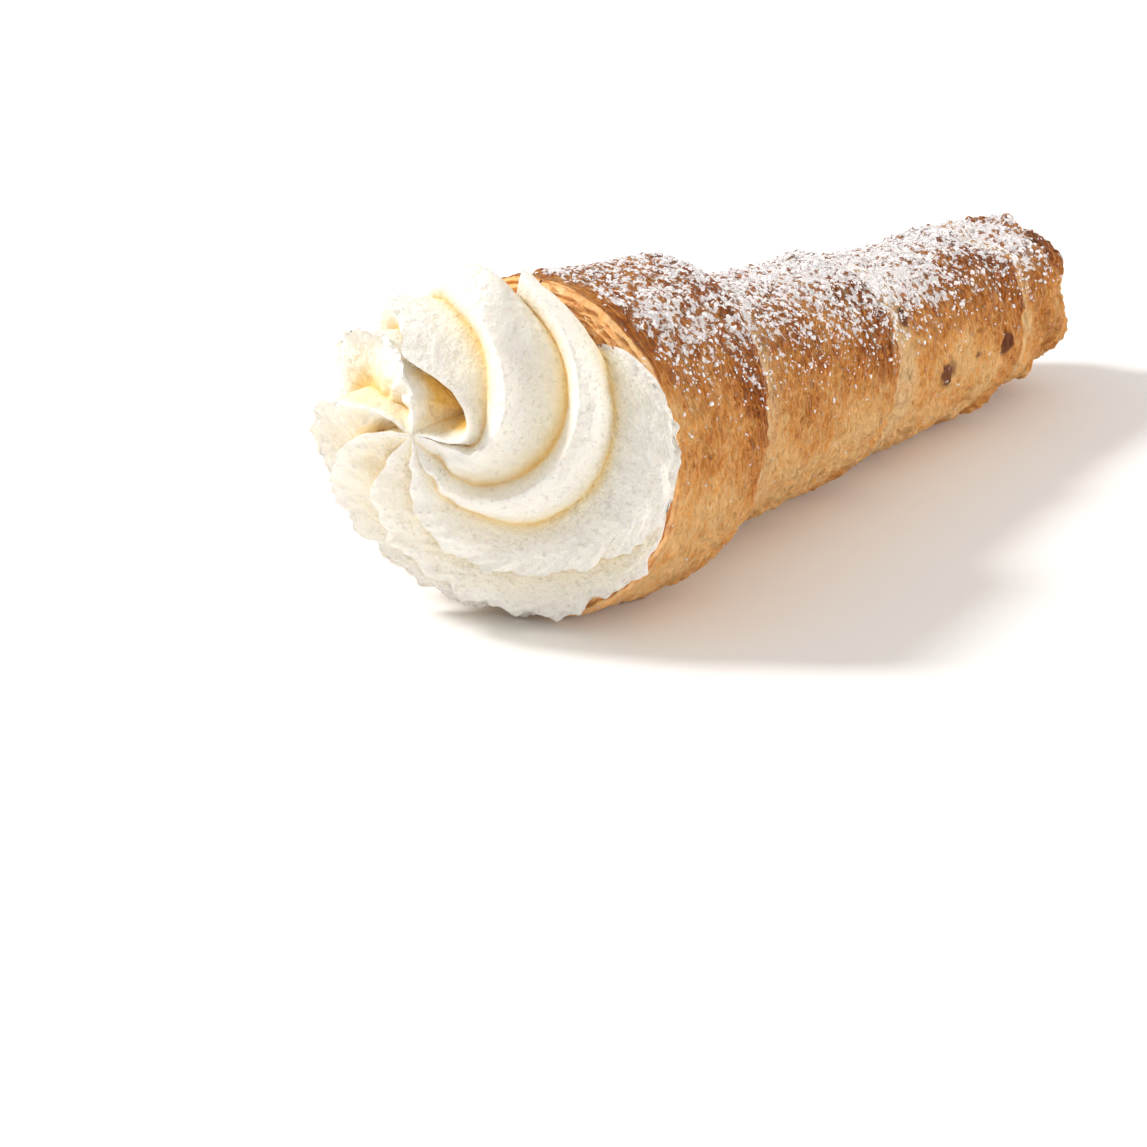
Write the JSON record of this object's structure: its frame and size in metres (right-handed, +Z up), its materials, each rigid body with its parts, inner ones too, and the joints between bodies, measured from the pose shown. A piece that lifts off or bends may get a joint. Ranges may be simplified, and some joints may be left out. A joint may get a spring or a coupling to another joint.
{
  "type": "cream horn pastry",
  "caption": "Horn of wound puff pastry dusted with icing sugar and filled with a piped swirl of whipped cream.",
  "frame": {"origin": "centre of the bounding box's footprint, on the surface that the horn lies on", "axes": "+X from the mouth toward the closed tip, +Z up"},
  "size_m": [0.1604, 0.0556, 0.0517],
  "materials": {
    "pastry": "baked puff pastry, golden to dark brown, dusted with icing sugar",
    "cream": "whipped cream, soft satin"
  },
  "bodies": {
    "root": {"pastry_horn": "pastry", "cream_filling": "cream"}
  },
  "joints": []
}
